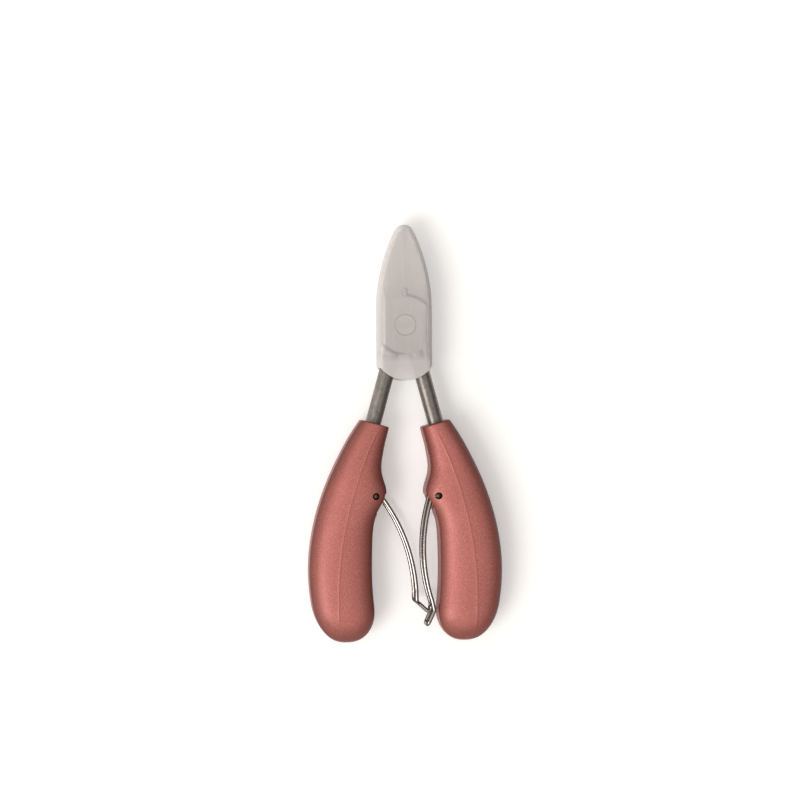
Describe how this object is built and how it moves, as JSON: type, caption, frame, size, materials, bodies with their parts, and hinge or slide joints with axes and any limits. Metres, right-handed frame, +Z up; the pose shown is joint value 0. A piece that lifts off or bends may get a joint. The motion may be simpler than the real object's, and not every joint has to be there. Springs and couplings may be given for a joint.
{
  "type": "nail nipper",
  "caption": "Plier-type nipper for thick nails and cuticles: lap-jointed steel jaws under a soft cap, moulded satin grips, and two bowed wire springs hooked together.",
  "frame": {"origin": "centre of the bounding box in X and Y, at its bottom, where the backs of the two grips rest", "axes": "+Y towards the jaw tip, +X to the right seen from the front face, +Z up from the resting backs of the grips to the front face; the pivot's axis is along Z"},
  "size_m": [0.0606, 0.1298, 0.0144],
  "materials": {
    "steel": "brushed, bare",
    "screw": "turned",
    "washer": "plain",
    "grip": "satin pearl",
    "pin": "plain",
    "wire": "bright",
    "cap": "milky, translucent"
  },
  "bodies": {
    "pivot": {"pivot_screw": "screw", "pivot_nut": "screw", "friction_washer": "washer"},
    "front_half": {"front_lever": "steel", "right_grip": "grip", "right_spring_pin": "pin"},
    "rear_half": {"rear_lever": "steel", "left_grip": "grip", "left_spring_pin": "pin"},
    "left_wire": {"left_spring": "wire"},
    "right_wire": {"right_spring": "wire"},
    "cap": {"protective_cap": "cap"}
  },
  "joints": [
    {"name": "front_open", "type": "hinge", "parent": "pivot", "child": "front_half", "pos_m": [0, 0.03367, 0.0072], "axis": [0, 0, 1], "range_deg": [0, 10]},
    {"name": "rear_open", "type": "hinge", "parent": "pivot", "child": "rear_half", "pos_m": [0, 0.03367, 0.0072], "axis": [0, 0, 1], "range_deg": [-10, 0]},
    {"name": "left_spring_swing", "type": "hinge", "parent": "rear_half", "child": "left_wire", "pos_m": [-0.0098, -0.01943, 0.0072], "axis": [0, 0, 1], "range_deg": [0, 19]},
    {"name": "right_spring_swing", "type": "hinge", "parent": "front_half", "child": "right_wire", "pos_m": [0.0098, -0.01943, 0.0072], "axis": [0, 0, 1], "range_deg": [-30.6, 0]},
    {"name": "cap_slide", "type": "slide", "parent": "pivot", "child": "cap", "axis": [0, 1, 0], "range_m": [0, 0.07]}
  ],
  "couplings": [
    {"joint": "rear_open", "follows": "front_open", "ratio": -1},
    {"joint": "left_spring_swing", "follows": "front_open", "ratio": 1.8895},
    {"joint": "right_spring_swing", "follows": "front_open", "ratio": -3.0449},
    {"joint": "cap_slide", "follows": "front_open", "m_per_rad": 0.4}
  ]
}
